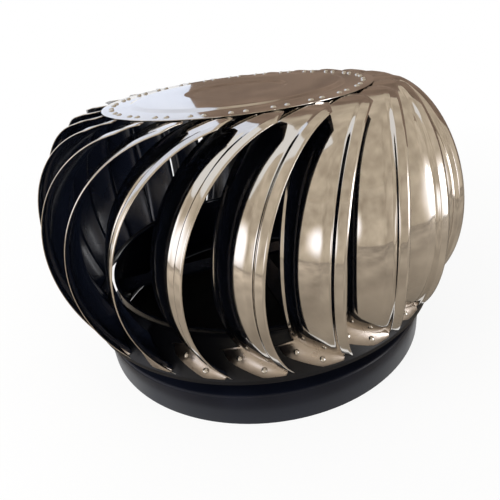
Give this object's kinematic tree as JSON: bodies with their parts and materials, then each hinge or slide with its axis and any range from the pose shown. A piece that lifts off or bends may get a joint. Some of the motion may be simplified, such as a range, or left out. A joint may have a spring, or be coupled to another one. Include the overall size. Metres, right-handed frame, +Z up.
{
  "type": "roof turbine ventilator",
  "caption": "Roof ventilator with a ring of bent vanes between a cap and a lower ring, turning freely on a fixed shaft above a round skirt that slips over a duct.",
  "frame": {"origin": "centre of the skirt's lower rim", "axes": "+Z up along the shaft, -Y towards the front"},
  "size_m": [0.5862, 0.5862, 0.3538],
  "materials": {
    "black_paint": "satin black enamel",
    "bar_paint": "satin black enamel",
    "ring_paint": "charcoal enamel, semi-gloss",
    "rivet_steel": "bright dome heads",
    "zinc_plate": "zinc plated",
    "shaft_steel": "ground bar",
    "bearing_steel": "ground",
    "hub_casting": "turned",
    "plate_steel": "pressed sheet",
    "cap_stainless": "mirror polished stainless steel",
    "vane_stainless": "mirror polished stainless steel"
  },
  "bodies": {
    "base": {"base_skirt": "black_paint", "throat_collar": "black_paint", "base_rivets": "rivet_steel", "lower_cross_bar": "bar_paint", "upper_cross_bar": "bar_paint", "bar_bolts": "zinc_plate", "bar_nuts": "zinc_plate", "shaft": "shaft_steel", "shaft_lower_washer": "zinc_plate", "shaft_lower_nut": "zinc_plate", "shaft_upper_washer": "zinc_plate", "shaft_upper_nut": "zinc_plate", "bearing_sleeve": "shaft_steel", "lower_bearing_inner_ring": "bearing_steel", "upper_bearing_inner_ring": "bearing_steel"},
    "rotor": {"hub": "hub_casting", "lower_bearing_outer_ring": "bearing_steel", "upper_bearing_outer_ring": "bearing_steel", "top_plate": "plate_steel", "hub_bolts": "zinc_plate", "hub_nuts": "zinc_plate", "cap": "cap_stainless", "cap_rivets": "rivet_steel", "rotor_ring": "ring_paint", "ring_rivets": "rivet_steel", "vane_01": "vane_stainless", "vane_02": "vane_stainless", "vane_03": "vane_stainless", "vane_04": "vane_stainless", "vane_05": "vane_stainless", "vane_06": "vane_stainless", "vane_07": "vane_stainless", "vane_08": "vane_stainless", "vane_09": "vane_stainless", "vane_10": "vane_stainless", "vane_11": "vane_stainless", "vane_12": "vane_stainless", "vane_13": "vane_stainless", "vane_14": "vane_stainless", "vane_15": "vane_stainless", "vane_16": "vane_stainless", "vane_17": "vane_stainless", "vane_18": "vane_stainless", "vane_19": "vane_stainless", "vane_20": "vane_stainless", "vane_21": "vane_stainless", "vane_22": "vane_stainless", "vane_23": "vane_stainless", "vane_24": "vane_stainless"}
  },
  "joints": [
    {"name": "rotor_spin", "type": "hinge", "parent": "base", "child": "rotor", "pos_m": [0, 0, 0.2], "axis": [0, 0, 1], "continuous": true}
  ]
}
